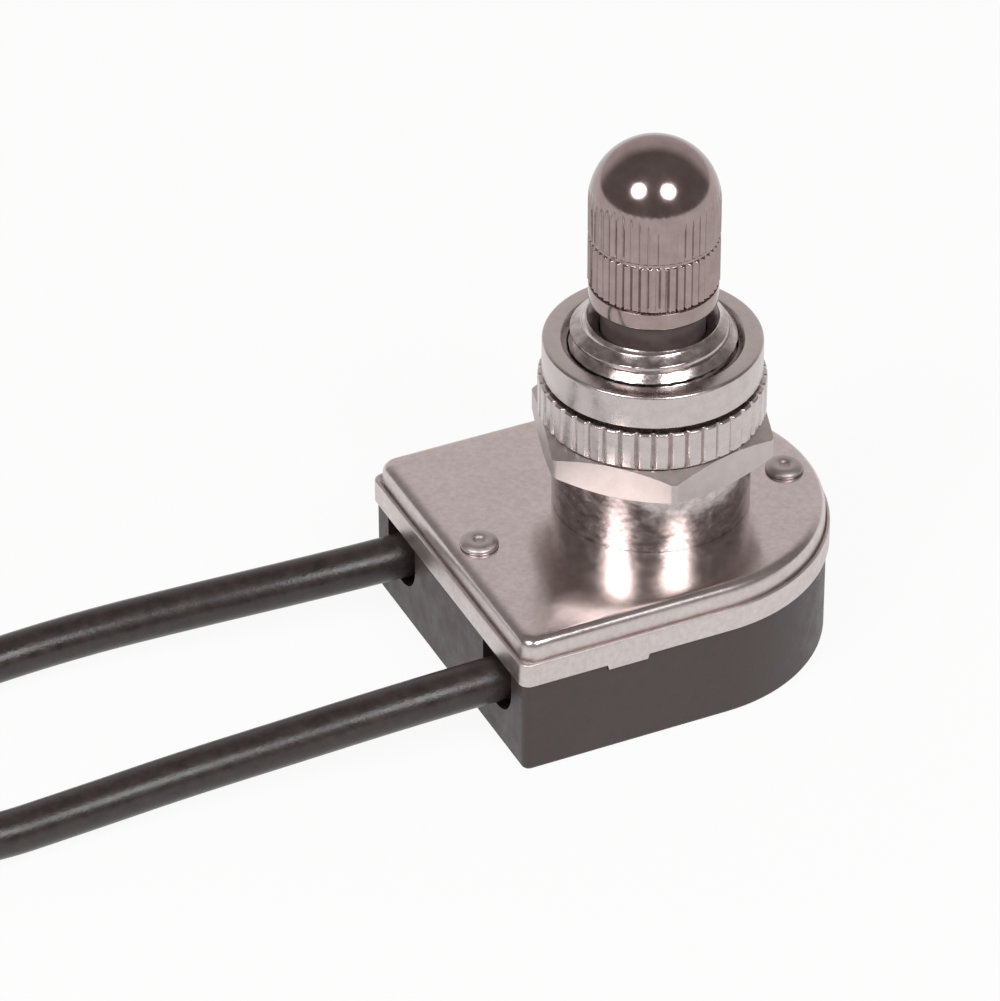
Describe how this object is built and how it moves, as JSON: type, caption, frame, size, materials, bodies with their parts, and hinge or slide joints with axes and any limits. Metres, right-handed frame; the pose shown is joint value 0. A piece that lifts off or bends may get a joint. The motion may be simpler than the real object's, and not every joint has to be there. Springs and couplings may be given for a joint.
{
  "type": "rotary switch",
  "caption": "Compact rotary canopy switch with a D-shaped moulded body, pressed cover, threaded bushing with nuts, domed knurled knob and flying leads.",
  "frame": {"origin": "on the bushing's axis, at the underside of the housing", "axes": "+Z along the bushing towards the knob; -X towards the flat end, where the leads leave; +Y to the left when looking along +X"},
  "size_m": [0.122, 0.0254, 0.0349],
  "materials": {
    "nickel_plate": "satin",
    "phenolic": "satin",
    "vinyl": "satin",
    "brass": "satin",
    "tinned_copper": "satin",
    "spring_steel": "satin",
    "fibre": "matte"
  },
  "bodies": {
    "body": {"housing": "phenolic", "cover_plate": "nickel_plate", "insulator_plate": "fibre", "cover_rivets": "nickel_plate", "bushing": "nickel_plate", "spring_washer": "spring_steel", "detent_spring": "spring_steel", "contact_far": "brass", "contact_near": "brass", "conductor_far": "tinned_copper", "conductor_near": "tinned_copper", "lead_far": "vinyl", "lead_near": "vinyl", "lead_hank": "vinyl", "bared_tips": "tinned_copper", "lead_tie": "vinyl"},
    "knob": {"knob": "nickel_plate", "rotor": "phenolic", "rotor_contact": "brass"},
    "hex_nut": {"hex_nut": "nickel_plate"},
    "ring_nut": {"ring_nut": "nickel_plate"}
  },
  "joints": [
    {"name": "knob_turn", "type": "hinge", "parent": "body", "child": "knob", "pos_m": [0, 0, 0.024], "axis": [0, 0, 1], "continuous": true},
    {"name": "hex_nut_turn", "type": "hinge", "parent": "body", "child": "hex_nut", "pos_m": [0, 0, 0.0148], "axis": [0, 0, 1], "continuous": true},
    {"name": "ring_nut_slide", "type": "slide", "parent": "body", "child": "ring_nut", "axis": [0, 0, 1], "range_m": [0, 0.0065]}
  ]
}
